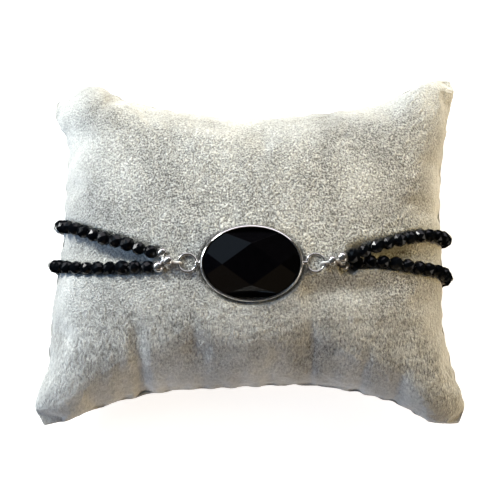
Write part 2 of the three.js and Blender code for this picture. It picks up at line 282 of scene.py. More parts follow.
def tilted(points, angle):
    """Points turned about X: y and z become their sums weighted with the angle's cosine and sine."""
    x, y, z = np.moveaxis(np.array(points, float), -1, 0)
    c, s = math.cos(angle), math.sin(angle)
    return np.stack([x, c * y - s * z, s * y + c * z], axis=-1)


def on_connector(points):
    """Connector points in millimetres, placed in the frame in metres: a turn about X, then a move."""
    return (tilted(points, CONNECTOR_TILT) + CONNECTOR_PLACE) * MM


def off_connector(points):
    """Points of the frame in metres, as connector points in millimetres."""
    return tilted(points / MM - CONNECTOR_PLACE, -CONNECTOR_TILT)


# ---- finishes -----------------------------------------------------------------------------------
# The attribute sets how strongly the painted shade in the pile's gaps and the painted highlight on its
# tips show.
GAP_SHADE_SHARE = "flatness"  # attribute of the pillow: 1 where the pile's gaps show, 0 where it lies smooth


class Value:
    """What a node puts out. Its sums, differences and products are Math nodes, so that shader maths
    reads as plain expressions."""

    def __init__(self, finish, socket):
        self.finish = finish
        self.socket = socket

    def _math(self, operation, first, second):
        return self.finish.node("ShaderNodeMath", {"operation": operation}, {0: first, 1: second})

    def __add__(self, other):
        return self._math("ADD", self, other)

    def __radd__(self, other):
        return self._math("ADD", other, self)

    def __sub__(self, other):
        return self._math("SUBTRACT", self, other)

    def __rsub__(self, other):
        return self._math("SUBTRACT", other, self)

    def __mul__(self, other):
        return self._math("MULTIPLY", self, other)

    def __rmul__(self, other):
        return self._math("MULTIPLY", other, self)


class Finish:
    """A material being made: one Principled shader and the nodes that feed it."""

    def __init__(self, name, **sockets):
        self.material = bpy.data.materials.new(name)
        self.material.use_nodes = True
        self.tree = self.material.node_tree
        self.shader = self.tree.nodes["Principled BSDF"]
        self.put(self.shader, sockets)
        self.position = self.node("ShaderNodeTexCoord", output="Object")

    def put(self, node, inputs):
        """Sets or links the sockets of a node, by name or number."""
        for key, value in inputs.items():
            socket = node.inputs[key]
            if isinstance(value, Value):
                self.tree.links.new(value.socket, socket)
            elif socket.type == "RGBA":
                socket.default_value = (*value, 1)
            else:
                socket.default_value = value

    def node(self, kind, settings=None, inputs=None, output=0):
        """A node with its settings, or a ramp's stops, set first, then its sockets."""
        node = self.tree.nodes.new(kind)
        for key, value in (settings or {}).items():
            if key == "stops":
                self._set_stops(node.color_ramp, value)
            else:
                setattr(node, key, value)
        self.put(node, inputs or {})
        return Value(self, node.outputs[output])

    @staticmethod
    def _set_stops(ramp, stops):
        """Gives a colour ramp these stops, each a place and a grey level."""
        while len(ramp.elements) < len(stops):
            ramp.elements.new(1)
        for element, (place, level) in zip(ramp.elements, stops):
            element.position = place
            element.color = (level, level, level, 1)

    def noise(self, per_mm, detail=2.0, roughness=0.55, stretch=(1, 1, 1), turn=(0, 0, 0)):
        """Noise from 0 to 1 with this many features in a millimetre, stretched along the axes."""
        scale = tuple(1 / amount for amount in stretch)
        sockets = {"Vector": self.position, "Rotation": turn, "Scale": scale}
        place = self.node("ShaderNodeMapping", {}, sockets)
        sockets = {"Vector": place, "Scale": per_mm / MM, "Detail": detail, "Roughness": roughness}
        return self.node("ShaderNodeTexNoise", {"noise_dimensions": "3D"}, sockets)

    def ramp(self, value, *stops):
        """The value carried through a ramp of (place, level) stops."""
        return self.node("ShaderNodeValToRGB", {"stops": stops}, {"Fac": value})

    def mix(self, share, first, second):
        """Colour mixed from two colours by share. The colour sockets' numbers are used, because the
        node's sockets for numbers and vectors have the same names."""
        return self.node("ShaderNodeMix", {"data_type": "RGBA"}, {0: share, 6: first, 7: second}, output=2)

    def bump(self, height, depth_mm, strength=1.0):
        """Links a Bump node for a relief of this depth to the shader."""
        sockets = {"Height": height, "Distance": depth_mm * MM, "Strength": strength}
        self.put(self.shader, {"Normal": self.node("ShaderNodeBump", {}, sockets)})


def plush_finish(pillow):
    """Short grey pile in clumps, brushed into streaks at the front: painted highlight on the fibre tips
    over painted shade in the gaps between them.

    The painted gap shade shows where the cover lies flat, and on its steep sides the pile lies over it.
    How much shows comes from the mesh's own attribute."""
    finish = Finish("plush", Roughness=0.95, **{
        "Specular IOR Level": 0.15, "Sheen Weight": 0.3, "Sheen Roughness": 0.4, "Sheen Tint": (1, 1, 1)})
    back = finish.node("ShaderNodeSeparateXYZ", {}, {"Vector": finish.position}, output="Y")
    front = finish.node("ShaderNodeMapRange", {"interpolation_type": "SMOOTHSTEP"}, {
        "Value": back, "From Min": -26 * MM, "From Max": -6 * MM, "To Min": 1, "To Max": 0})
    # share of painted gap shade and tip highlight, read from the mesh
    flat = finish.node("ShaderNodeAttribute", {"attribute_name": GAP_SHADE_SHARE}, output="Fac")
    grains = finish.noise(2.7, detail=2, roughness=0.7, stretch=(1, 1.2, 1))
    streaks = finish.noise(2.6, detail=3, roughness=0.75, stretch=(1, 2.4, 1.4), turn=(0, 0, 0.25))
    fibres = finish.ramp(grains + (streaks - grains) * front, (0.36, 0.0), (0.64, 1.0))
    # contrast between the painted tip highlight and the painted gap shade grows with that share
    average, contrast = 0.47, 0.2 + 0.95 * flat
    fibres = average + (fibres - average) * contrast
    clumps = finish.noise(0.42, detail=3, roughness=0.6, stretch=(1, 1.5, 1))
    brushed = finish.noise(0.085, detail=3, roughness=0.55, stretch=(1, 1.3, 1))
    brushed = finish.ramp(brushed, (0.3, 0.0), (0.7, 1.0))
    # share of painted tip highlight over painted gap shade, with random clumps and brushed patches of tone
    tips = fibres * 0.78 + clumps * 0.3 + brushed * 0.36 - 0.22
    tips = finish.ramp(tips, (0.0, 0.0), (1.0, 1.0))
    finish.put(finish.shader, {"Base Color": finish.mix(tips, tuple(pillow.gap), tuple(pillow.lit_tip))})
    finish.bump(fibres * 0.9 + clumps * 0.6, 0.42)
    return finish.material


def scaled(tint, share):
    """A colour made darker or lighter by this share."""
    return tuple(share * level for level in tint)


def black_stone_finish(name, tint, roughness, ior, shine):
    """Polished black stone: a deep colour, a faint haze on the facets and hair-fine polishing marks."""
    finish = Finish(name, IOR=ior, **{"Specular IOR Level": shine})
    haze = finish.noise(0.7, detail=3)
    marks = finish.noise(9, detail=2, stretch=(1, 6, 1), turn=(0, 0, 0.6))
    finish.put(finish.shader, {
        "Base Color": finish.mix(haze, scaled(tint, 0.5), scaled(tint, 1.6)),
        "Roughness": haze * roughness + 0.4 * roughness})
    finish.bump(marks, 0.0006, 0.5)
    return finish.material


def silver_finish(name, tint):
    """Polished silver: bright metal with soft wear, fine scratches and a trace of tarnish."""
    finish = Finish(name, Metallic=0.93)
    wear = finish.noise(0.9, detail=4, roughness=0.6)
    scratches = finish.noise(14, detail=2, stretch=(5, 1, 1), turn=(0, 0.4, 0.5))
    worn = finish.ramp(wear, (0.45, 0.0), (0.75, 1.0))
    finish.put(finish.shader, {
        "Base Color": finish.mix(worn, tint, scaled(tint, 0.82)),
        "Roughness": wear * 0.14 + 0.05})
    finish.bump(scratches * 0.5 + wear, 0.004, 0.35)
    return finish.material


def elastic_finish(tint):
    """Pale elastic thread: glossy, a little uneven, with fine ribs from its core."""
    finish = Finish("elastic", IOR=1.5, **{"Specular IOR Level": 0.6})
    cloudy = finish.noise(1.2, detail=2)
    ribs = finish.noise(8, detail=1, stretch=(4, 1, 4))
    finish.put(finish.shader, {
        "Base Color": finish.mix(cloudy, scaled(tint, 0.75), tint),
        "Roughness": cloudy * 0.25 + 0.2})
    finish.bump(ribs, 0.02, 0.5)
    return finish.material


def give(piece, material, slot, *nodes):
    """Gives a piece its material, puts it on the body and lets it stand for CAD nodes. The slot is not
    used.
    """
    piece.data.materials.clear()
    piece.data.materials.append(material)
    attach(piece, BODY)
    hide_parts(*nodes)


# ---- pillow -------------------------------------------------------------------------------------
def plan_points(s, t):
    """Plan of the pillow at s across and t back, both from -1 to 1, in millimetres.

    x lies between the left and right sides at its own y, and y between the front and back sides at
    its own x, so the pair is settled in steps."""
    settling_steps, half_width, half_depth = 40, 43, 34
    x, y = half_width * s, half_depth * t
    for _ in range(settling_steps):
        to_x = lerp(smooth_through(LEFT_SIDE, y), smooth_through(RIGHT_SIDE, y), (s + 1) / 2)
        to_y = lerp(smooth_through(FRONT_SIDE, x), smooth_through(BACK_SIDE, x), (t + 1) / 2)
        x, y = (x + to_x) / 2, (y + to_y) / 2
    return x, y


def cells_at(cells, places):
    """(cell, share of the way across it) at places that are counted in cells from the first edge."""
    cell = np.minimum(places.astype(int), cells - 1)
    return cell, places - cell


class Cover:
    """The pillow's cover as two sheets on one grid of s and t that share the seam's vertices.

    The steps of s and t are those of a sine, so they get finer towards the seam. Fullness is the
    square root of (1 - s squared)(1 - t squared). The upper sheet stands crown times fullness over
    the seam and the lower one hangs belly times fullness below it, no lower than the table."""

    def __init__(self, sizes, across, back, slack=0.0):
        u, v = np.linspace(-1, 1, across + 1), np.linspace(-1, 1, back + 1)
        s, t = np.meshgrid(np.sin(u * np.pi / 2), np.sin(v * np.pi / 2), indexing="ij")
        self.cells = (across, back)
        x, y = plan_points(s, t)
        fullness = np.sqrt(np.clip((1 - s * s) * (1 - t * t), 0, None))
        seam = lerp(sizes.seam_height, sizes.ear_height, (s * t) ** 2)
        upper = seam + (sizes.crown - slack) * fullness
        lower = np.maximum(0, seam - (sizes.belly - slack) * fullness)
        grid = np.arange(s.size).reshape(s.shape)
        inner = grid[1:-1, 1:-1]
        below = grid.copy()
        below[1:-1, 1:-1] = s.size + np.arange(inner.size).reshape(inner.shape)
        self.upper, self.lower = grid, below
        self.quads = np.concatenate([grid_quads(grid), grid_quads(below)[:, ::-1]])
        both = [np.stack([x * MM, y * MM, z], -1) for z in (upper, lower)]
        self.vertices = np.concatenate([both[0].reshape(-1, 3), both[1][1:-1, 1:-1].reshape(-1, 3)])
        self.fullness = self.spread(fullness, fullness)
        self.s, self.t = self.spread(s, s), self.spread(t, t)
        self.side = self.spread(np.ones_like(s), -np.ones_like(s))
        self.seam = np.setdiff1d(grid, inner)

    def spread(self, upper, lower):
        """Values on both sheets' grids, as one array over the vertices."""
        flat = (len(upper) * upper.shape[1],) + upper.shape[2:]
        return np.concatenate([upper.reshape(flat), lower[1:-1, 1:-1].reshape((-1,) + lower.shape[2:])])

    def onto(self, values, finer):
        """Vectors at these vertices carried to a finer cover: linear across the cells of each sheet."""
        across, back = (np.linspace(0, coarse, fine + 1) for coarse, fine in zip(self.cells, finer.cells))
        (i, a), (j, b) = cells_at(self.cells[0], across), cells_at(self.cells[1], back)
        a, b = a[:, None, None], b[None, :, None]
        sheets = []
        for sheet in (self.upper, self.lower):
            rows = lerp(values[sheet[i]], values[sheet[i + 1]], a)
            sheets.append(lerp(rows[:, j], rows[:, j + 1], b))
        return finer.spread(*sheets)


def stuffed(cover):
    """How far each vertex moves when the cover is blown up as cloth with its seam held.

    The cloth is simulated ten times as large, where the solver's steps suit it."""
    enlarged, frames, pressure = 10, 20, 4
    cloth_piece = mesh_piece("cover", cover.vertices * enlarged, [cover.quads])
    group = cloth_piece.vertex_groups.new(name="seam")
    group.add(cover.seam.tolist(), 1.0, "REPLACE")
    cloth = cloth_piece.modifiers.new("Cloth", "CLOTH")
    settings = cloth.settings
    settings.use_pressure = True
    settings.uniform_pressure_force = pressure
    settings.effector_weights.gravity = 0
    settings.vertex_group_mass = "seam"
    settings.quality = 6
    settings.shrink_min = -0.025
    settings.bending_stiffness = 2
    cloth.point_cache.frame_end = frames
    for frame_number in range(1, frames + 1):
        bpy.context.scene.frame_set(frame_number)
    evaluated = cloth_piece.evaluated_get(bpy.context.evaluated_depsgraph_get())
    moved = np.zeros(len(cover.vertices) * 3)
    evaluated.data.vertices.foreach_get("co", moved)
    bpy.data.objects.remove(cloth_piece)
    bpy.context.scene.frame_set(1)
    return moved.reshape(-1, 3) / enlarged - cover.vertices


def capped(moves, most):
    """Moves no longer than most, eased so that long ones stay apart."""
    size = np.linalg.norm(moves, axis=1, keepdims=True)
    return moves * most * np.tanh(size / most) / np.maximum(size, 1e-12)


def pressed(points, normals, centres, reach):
    """Sinks points under balls of radius reach at the centres, down their normals to the balls' far side.

    Each point is sunk by its nearest ball alone, and only by one that is less than three radii away."""
    nearest = np.full(len(points), np.inf)
    depth = np.zeros(len(points))
    for centre in centres:
        away = points - centre
        squared = np.einsum("ij,ij->i", away, away)
        closer = np.flatnonzero((squared < nearest) & (squared < (3 * reach) ** 2))
        nearest[closer] = squared[closer]
        height = np.einsum("ij,ij->i", away[closer], normals[closer])
        beside = squared[closer] - height**2
        inside = beside < reach**2
        depth[closer] = np.where(inside, height + np.sqrt(np.clip(reach**2 - beside, 0, None)), 0)
    return points - normals * np.clip(depth, 0, None)[:, None]


def bedded(points):
    """Sinks points under the connector's oval back, with a steep bank round it."""
    bank, below_back, deepest, half = 4.5, 0.12, -8, (10.4, 7.9)
    local = off_connector(points)
    x, y, z = np.moveaxis(local, -1, 0)
    outside = (np.hypot(x / half[0], y / half[1]) - 1) * half[1]
    bed = -below_back + np.clip(outside, 0, None) * bank
    over = (z > bed) & (z > deepest)
    local[:, 2] = np.where(over, bed, z)
    return on_connector(local)


def smooth_noise(random, shape, coarse):
    """Random bumps between -1 and 1 over a grid: random values at the corners of coarse cells, joined
    by smooth cubic steps."""
    values = random.uniform(-1, 1, (coarse[0] + 1, coarse[1] + 1))
    (i, a), (j, b) = (cells_at(n, np.linspace(0, n, size)) for n, size in zip(coarse, shape))
    rows = lerp(values[i], values[i + 1], smoothstep(0, 1, a)[:, None])
    return lerp(rows[:, j], rows[:, j + 1], smoothstep(0, 1, b)[None, :])


CREASES = [  # start x, y, end x, y, width, depth, all in millimetres
    (36, -9.5, 12, -12.5, 2.4, 1.0),
    (38, -3.0, 22, -5.0, 2.0, 3.0),
    (-39, -2.0, -22, -5.4, 2.5, 2.4),
    (-23.2, -16, -22, -32, 1.5, 0.9),
    (12.5, -24, 12.2, -31, 0.7, 0.35),
    (24.5, -22, 22.5, -30, 1.0, 0.3),
    (31.5, -27, 29.5, -33, 1.3, 0.35),
    (-33, 26, -28, 33, 2.0, 0.5),
]


def creased(cover, points, normals):
    """Valleys in the upper sheet along short lines: depth falls off as a bell across each line, and it
    grows along the line from its start to its end."""
    x, y = points[:, 0] / MM, points[:, 1] / MM
    depth = np.zeros(len(points))
    before, beyond, deepest_at = 2, 3, 0.6
    for x0, y0, x1, y1, width, deep in CREASES:
        run = np.hypot(x1 - x0, y1 - y0)
        along = ((x - x0) * (x1 - x0) + (y - y0) * (y1 - y0)) / run
        across = ((x - x0) * (y1 - y0) - (y - y0) * (x1 - x0)) / run
        ends = smoothstep(-before, deepest_at * run, along) * (1 - smoothstep(run, run + beyond, along))
        depth += deep * np.exp(-((across / width) ** 2)) * ends
    return points - normals * (depth * MM * (cover.side > 0))[:, None]


def plush_relief(cover, points, normals, depth, seed):
    """Clumps of pile along the normals: three sizes of random bumps, which fade out at the ears' tips.
    The two sheets' bumps differ but meet at the seam. Along it runs a sewn valley, puckered by a sine."""
    random = np.random.default_rng(seed)
    bumps = (((70, 60), 0.5), ((130, 110), 0.7), ((9, 8), 2.2))  # number over the sheet, weight
    upper, lower = (
        sum(weight * smooth_noise(random, cover.upper.shape, number) for number, weight in bumps)
        for _ in ("upper", "lower"))
    off_seam = np.clip(cover.fullness[cover.lower] * 3, 0, 1)
    off_ears = 1 - np.abs(cover.s * cover.t) ** 6
    relief = cover.spread(upper, lerp(upper, lower, off_seam)) * depth * off_ears
    seam_depth, seam_width, pucker_width, pucker_depth = 0.4 * MM, 0.1, 0.75 * MM, 0.35
    puckers = 1 + pucker_depth * np.sin((points[:, 0] - points[:, 1]) / pucker_width)
    valley = seam_depth * puckers * off_ears * np.exp(-((cover.fullness / seam_width) ** 2))
    return points + normals * (relief - valley)[:, None]


def plumped(sizes, cover):
    """The cover's points after a looser cover of fewer cells is blown up as cloth. The cloth's moves are
    carried over, and then the upper sheet settles again by its fullness."""
    loose_cells, slack, longest_move, settled = (72, 60), 0.6 * MM, 1.0 * MM, 0.85 * MM
    loose = Cover(sizes, *loose_cells, slack=slack)
    moves = capped(stuffed(loose), longest_move)
    sunk = settled * cover.fullness * (cover.side > 0)
    return cover.vertices + loose.onto(moves, cover) - sunk[:, None] * (0, 0, 1)


def pile_gap_shade_share(cover, points, normals):
    """How much of the painted gap shade and tip highlight shows: more where the normal points up, less
    near the seam, and up to two fifths less towards the left side."""
    x, up = points[:, 0], normals[:, 2]
    level = smoothstep(0.42, 0.96, up) * smoothstep(-0.1, 0.5, cover.fullness)
    return level * (1 - 0.4 * smoothstep(-12 * MM, -36 * MM, x))


class BRACELET_OT_pillow(bpy.types.Operator):
    """Make the plush pillow, pressed by the bracelet that lies on it"""

    bl_idname = "bracelet.pillow"
    bl_label = "Pillow"

    def execute(self, context):
        sizes = context.scene.bracelet_pillow
        beads = context.scene.bracelet_beads
        cover = Cover(sizes, sizes.cells_across, sizes.cells_back)
        points = plumped(sizes, cover)
        normals = vertex_normals(points, cover.quads)
        points = creased(cover, points, normals)
        smooth_normals = vertex_normals(points, cover.quads)
        points = plush_relief(cover, points, normals, sizes.pile_depth, seed=7)
        normals = vertex_normals(points, cover.quads)
        sparse = 4  # every fourth point of a strand's line is enough for its bed
        strand_beds = [(line[::sparse], beads.radius + BED_ROOM) for line in strand_lines()]
        for centres, reach in strand_beds + small_beds():
            points = pressed(points, normals, centres, reach)
        points = bedded(points)
        points[:, 2] = np.maximum(points[:, 2], 0)
        pillow = mesh_piece("plush_pillow", points, [cover.quads])
        # the share of painted gap shade and tip highlight, kept on the mesh for the plush finish
        flatness = pillow.data.attributes.new(GAP_SHADE_SHARE, "FLOAT", "POINT")
        flatness.data.foreach_set("value", pile_gap_shade_share(cover, points, smooth_normals).astype(np.float32))
        give(pillow, plush_finish(sizes), "plush", "pillow")
        return {"FINISHED"}


# ---- strands of black beads ---------------------------------------------------------------------
def strand_lines():
    """Centre lines of the two strands, from the left round under the pillow to the right."""
    return [in_metres(spline(rows)) for rows in (BACK_STRAND, FRONT_STRAND)]


def faceted_bead(radius, long, bore):
    """One bead along Z: rings of eight points at the girdle, the crown, the end faces and the bore.

    The crown's points stand half a step round from the girdle's, so that all the facets between are
    triangles. Returns the vertices, the triangles and the quads."""
    sides = 8
    rings = [  # share of radius, share of half length, half steps round
        (bore / radius, -1, 0), (0.52, -1, 0), (0.87, -0.58, 1), (1, 0, 0),
        (0.87, 0.58, 1), (0.52, 1, 0), (bore / radius, 1, 0),
    ]
    share, rise, turn = (np.array(column)[:, None] for column in zip(*rings))
    angle = (np.arange(sides) + turn / 2) * 2 * np.pi / sides
    points = [share * radius * np.cos(angle), share * radius * np.sin(angle), rise * long / 2 + 0 * angle]
    index = np.arange(len(rings) * sides).reshape(len(rings), sides)
    triangles = []
    for low in (1, 2, 3, 4):
        a, b = index[low], index[low + 1]
        a_next, b_next = np.roll(a, -1), np.roll(b, -1)
        if rings[low][2] == 0:  # the upper ring stands half a step further round
            triangles += [np.stack([a, a_next, b], 1), np.stack([a_next, b_next, b], 1)]
        else:
            triangles += [np.stack([a, b_next, b], 1), np.stack([a, a_next, b_next], 1)]
    ends = [ring_quads(index[[0, 1]]), ring_quads(index[[5, 6]]), ring_quads(index[[6, 0]])]
    flipped = [quads[:, ::-1] for quads in ends]
    return np.stack(points, -1).reshape(-1, 3), np.concatenate(triangles), np.concatenate(flipped)


def turned_about(axis, angle):
    """Matrices that turn about X (0), Y (1) or Z (2) by an array of angles."""
    c, s = np.cos(angle), np.sin(angle)
    matrix = np.zeros((len(angle), 3, 3))
    i, j = [k for k in range(3) if k != axis]
    matrix[:, axis, axis] = 1
    matrix[:, i, i], matrix[:, i, j], matrix[:, j, i], matrix[:, j, j] = c, -s, s, c
    return matrix


def strand_of_beads(name, line, beads, seed):
    """Beads at even distances along the line, each spun, tilted and sized a little by chance."""
    random = np.random.default_rng(seed)
    length_along = path_length(line)
    number = round(length_along / beads.pitch)
    pitch = length_along / number
    places, forward = along_path(line, (np.arange(number) + 0.5) * pitch)
    outward = unit(np.cross(forward, (0, 1, 0)))
    frames = np.stack([outward, np.cross(forward, outward), forward], axis=-1)
    usual_tilt, smaller, larger, filled = math.radians(6), -0.06, 0.05, 0.97
    spin = random.uniform(0, 2 * np.pi, number)
    tilt = random.normal(0, usual_tilt, (2, number))
    size = 1 + random.uniform(smaller, larger, number)
    turned = frames @ turned_about(0, tilt[0]) @ turned_about(1, tilt[1]) @ turned_about(2, spin)
    shape, triangles, quads = faceted_bead(beads.radius, filled * pitch, beads.bore)
    vertices = np.einsum("nij,kj->nki", turned, shape) * size[:, None, None] + places[:, None, :]
    shift = (np.arange(number) * len(shape))[:, None, None]
    return mesh_piece(name, vertices.reshape(-1, 3), [
        (triangles[None] + shift).reshape(-1, 3), (quads[None] + shift).reshape(-1, 4)], smooth=False)


class BRACELET_OT_strands(bpy.types.Operator):
    """Make the two strands of faceted black beads"""

    bl_idname = "bracelet.strands"
    bl_label = "Bead Strands"

    def execute(self, context):
        beads = context.scene.bracelet_beads
        finish = black_stone_finish("black_bead", beads.stone, roughness=0.12, ior=1.55, shine=0.32)
        for seed, (name, line) in enumerate(zip(("strand_back", "strand_front"), strand_lines()), 21):
            nodes = [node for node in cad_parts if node.startswith(name)]
            give(strand_of_beads(name + "_beads", line, beads, seed), finish, "black_beads", *nodes)
        return {"FINISHED"}


# ---- silver beads and elastic thread ------------------------------------------------------------
SIDES = {"left": -1, "right": 1}


def silver_bead_places():
    """Middle and radius of each silver bead, in metres."""
    return {key: (in_metres(row[:3]), row[3] * MM) for key, row in SILVER_BEADS.items()}


def end_path(side, places, entering, leaving):
    """Thread from one strand through its end bead and the common bead, round the wire at the ring's far
    end, and back through the common and the other end bead: points in metres."""
    outward = SIDES[side]
    first, common, second = (places[side, which][0] for which in (entering, "common", leaving))
    wire = on_connector((outward * (RING_OUT + RING_RADIUS), 0, RING_RISE))
    room, past_bead = 0.04, 1.0 * MM
    turn = (RING_WIRE + THREAD_RADIUS + room) * MM
    apart = THREAD_RADIUS * 1.1 * MM
    up, out = np.array([0, 0, 1.0]), np.array([outward, 0, 0.0])
    above, below = common + up * apart, common - up * apart
    angles = np.radians([62, 120, 180, 240, 298])
    loop = [wire + turn * (math.cos(angle) * out + math.sin(angle) * up) for angle in angles]
    return [first, above + out * past_bead, above, *loop, below, below + out * past_bead, second]


def thread_path(places):
    """The whole closed thread: the back strand, the right ring, the front strand and the left ring."""
    start, step = 0.4 * MM, 1.2 * MM
    back, front = (
        along_path(line, np.arange(start, path_length(line), step))[0] for line in strand_lines())
    right = end_path("right", places, "back", "front")
    left = end_path("left", places, "front", "back")
    return np.concatenate([back, right, front[::-1], left])


def tube(path, radius, sides=10):
    """Circle carried along a closed path: each section stands square to the path's direction, turned
    so that its first point looks along the cross product of the direction and Y."""
    forward = unit(np.roll(path, -1, axis=0) - np.roll(path, 1, axis=0))
    outward = unit(np.cross(forward, (0, 1, 0)))
    sideways = np.cross(forward, outward)
    angle = around(sides)[None, :, None]
    sections = np.cos(angle) * outward[:, None, :] + np.sin(angle) * sideways[:, None, :]
    vertices = (path[:, None, :] + radius * sections).reshape(-1, 3)
    index = np.arange(len(vertices)).reshape(len(path), sides)
    return vertices, closed_quads(index)[:, ::-1]


def lathe(profile, sides):
    """(vertices, grid of their numbers) of a profile of (distance from the axis, place along it) that is
    turned about Z."""
    distance, place = np.array(profile, float).T[:, :, None, None]
    vertices = distance * circle(around(sides)) + place * np.array([0, 0, 1.0])
    return vertices.reshape(-1, 3), np.arange(len(profile) * sides).reshape(len(profile), sides)


def laid_along(vertices, direction, place):
    """Vertices that stand along Z, turned to lie along a direction and moved to a place."""
    forward = unit(np.array(direction, float))
    outward = unit(np.cross(forward, (0, 1, 0.001)))
    return vertices @ np.stack([outward, np.cross(forward, outward), forward]) + place


def bead_directions(places):
    """Direction of the bore of each silver bead: out along X in a common bead, and from the common bead
    to the strand's end in the others."""
    lines = dict(zip(("back", "front"), strand_lines()))
    directions = {}
    for side, which in places:
        end = 0 if side == "left" else -1
        start = places[side, "common"][0]
        out = np.array([SIDES[side], 0, 0.0])
        directions[side, which] = out if which == "common" else lines[which][end] - start
    return directions


class BRACELET_OT_silver_beads(bpy.types.Operator):
    """Make the six small silver beads at the ends of the connector"""

    bl_idname = "bracelet.silver_beads"
    bl_label = "Silver Beads"

    def execute(self, context):
        setting = context.scene.bracelet_setting
        finish = silver_finish("silver_bead", tuple(setting.silver))
        places = silver_bead_places()
        directions = bead_directions(places)
        arc_steps, sides, bore, lip = 24, 40, 0.52 * MM, 0.06 * MM
        for (side, which), (middle, radius) in places.items():
            mouth = math.acos((bore + lip) / radius)
            arc = np.linspace(-mouth, mouth, arc_steps)
            outer = [(radius * math.cos(angle), radius * math.sin(angle)) for angle in arc]
            end = radius * math.sin(mouth)
            profile = [*outer, (bore, end - lip), (bore, lip - end)]
            vertices, index = lathe(profile, sides)
            vertices = vertices * (1, 1, SILVER_BEADS[side, which][4])
            vertices = laid_along(vertices, directions[side, which], middle)
            bead = mesh_piece(f"bright_bead_{side}_{which}", vertices, [closed_quads(index)[:, ::-1]])
            bead.data.set_sharp_from_angle(angle=math.radians(40))
            give(bead, finish, "silver_beads", f"silver_bead_{side}_{which}")
        return {"FINISHED"}


class BRACELET_OT_thread(bpy.types.Operator):
    """Make the elastic thread that runs through all the beads and round both rings"""

    bl_idname = "bracelet.thread"
    bl_label = "Elastic Thread"

    def execute(self, context):
        finish = elastic_finish(tuple(context.scene.bracelet_setting.elastic))
        path = spline(thread_path(silver_bead_places()), per_span=4, closed=True)
        vertices, quads = tube(path, THREAD_RADIUS * MM)
        thread = mesh_piece("elastic_thread", vertices, [quads])
        give(thread, finish, "elastic_thread", "thread_left", "thread_right")
        return {"FINISHED"}


# ---- stone --------------------------------------------------------------------------------------
def facet_planes(half_length, half_width):
    """Planes that cut the stone's top, each a point and an outward direction, in millimetres.

    A lozenge table has four main facets along its edges and four star facets at its corners. Round
    them the girdle facets touch the oval at its upper edge, all at one slope."""
    table_height, corner_height, girdle_height, girdle_slope = 4.7, 2.9, 2.25, math.radians(55)
    table_x, table_y, girdle_facets = 5.8, 4.2, 20
    corners = [(9.0, 2.1), (4.4, 5.7)]  # where a main facet's lower edge ends
    up = np.array([0, 0, 1.0])

    def plane(high, second, third):
        """Through a point at the table's height and two more, each (x, y, height)."""
        normal = np.cross(np.subtract(second, high), np.subtract(third, high))
        return np.array(high, float), unit(normal if normal[2] > 0 else -normal)

    planes = []
    middle_x, middle_y = np.mean(corners, axis=0)
    for sx, sy in ((-1, -1), (-1, 1), (1, -1), (1, 1)):
        table_edge = (sx * table_x, 0, table_height), (0, sy * table_y, table_height)
        planes.append(plane(*table_edge, (sx * middle_x, sy * middle_y, corner_height)))
    (end_x, end_y), (side_x, side_y) = corners
    for sign in (-1, 1):
        low = ((sign * end_x, other * end_y, corner_height) for other in (-1, 1))
        planes.append(plane((sign * table_x, 0, table_height), *low))
        low = ((other * side_x, sign * side_y, corner_height) for other in (-1, 1))
        planes.append(plane((0, sign * table_y, table_height), *low))
    angle = (np.arange(girdle_facets) + 0.5) * 2 * np.pi / girdle_facets
    touching = circle(angle, half_length, half_width) + up * girdle_height
    outward = unit(circle(angle, half_width, half_length))
    facing = outward * math.sin(girdle_slope) + up * math.cos(girdle_slope)
    return [*planes, *zip(touching, facing)], table_height


class BRACELET_OT_stone(bpy.types.Operator):
    """Cut the oval stone: a blank with one slice for each facet"""

    bl_idname = "bracelet.stone"
    bl_label = "Stone"

    def execute(self, context):
        setting = context.scene.bracelet_setting
        half = np.array([setting.half_length, setting.half_width]) / MM
        planes, top = facet_planes(*half)
        sides, edge, sharp_angle, weld = 96, 0.02, math.radians(6), 0.003
        rings = [(0.8, 0.8), (0.97, 1.5), (1, 1.7), (1, top)]  # share of the oval, height
        vertices = [circle(around(sides), *(share * half)) + (0, 0, height) for share, height in rings]
        index = np.arange(len(rings) * sides).reshape(len(rings), sides)
        faces = [ring_quads(index)[:, ::-1], index[-1][None], index[0][None, ::-1]]
        stone = mesh_piece("faceted_stone", np.concatenate(vertices), faces, smooth=False)
        shape = bmesh.new()
        shape.from_mesh(stone.data)
        for point, normal in planes:
            geometry = shape.verts[:] + shape.edges[:] + shape.faces[:]
            cut = bmesh.ops.bisect_plane(
                shape, geom=geometry, plane_co=point, plane_no=normal, clear_outer=True, dist=1e-5)
            rim = [item for item in cut["geom_cut"] if isinstance(item, bmesh.types.BMEdge)]
            if rim:
                bmesh.ops.contextual_create(shape, geom=rim)
        bmesh.ops.remove_doubles(shape, verts=shape.verts, dist=weld)
        above_girdle = 1.8
        sharp = [line for line in shape.edges
                 if len(line.link_faces) == 2 and line.calc_face_angle() > sharp_angle
                 and min(end.co.z for end in line.verts) > above_girdle]
        bmesh.ops.bevel(shape, geom=sharp, offset=edge, segments=1, affect="EDGES", clamp_overlap=True)
        bmesh.ops.recalc_face_normals(shape, faces=shape.faces)
        shape.to_mesh(stone.data)
        shape.free()
        place_on_connector(stone)
        finish = black_stone_finish("cut_stone", setting.stone, roughness=0.06, ior=1.54, shine=0.22)
        give(stone, finish, "faceted_stone", "stone")
        return {"FINISHED"}


def place_on_connector(piece):
    """Moves a mesh made in connector millimetres to its place, in metres."""
    vertices = np.zeros(len(piece.data.vertices) * 3)
    piece.data.vertices.foreach_get("co", vertices)
    piece.data.vertices.foreach_set("co", on_connector(vertices.reshape(-1, 3)).ravel())
    piece.data.update()


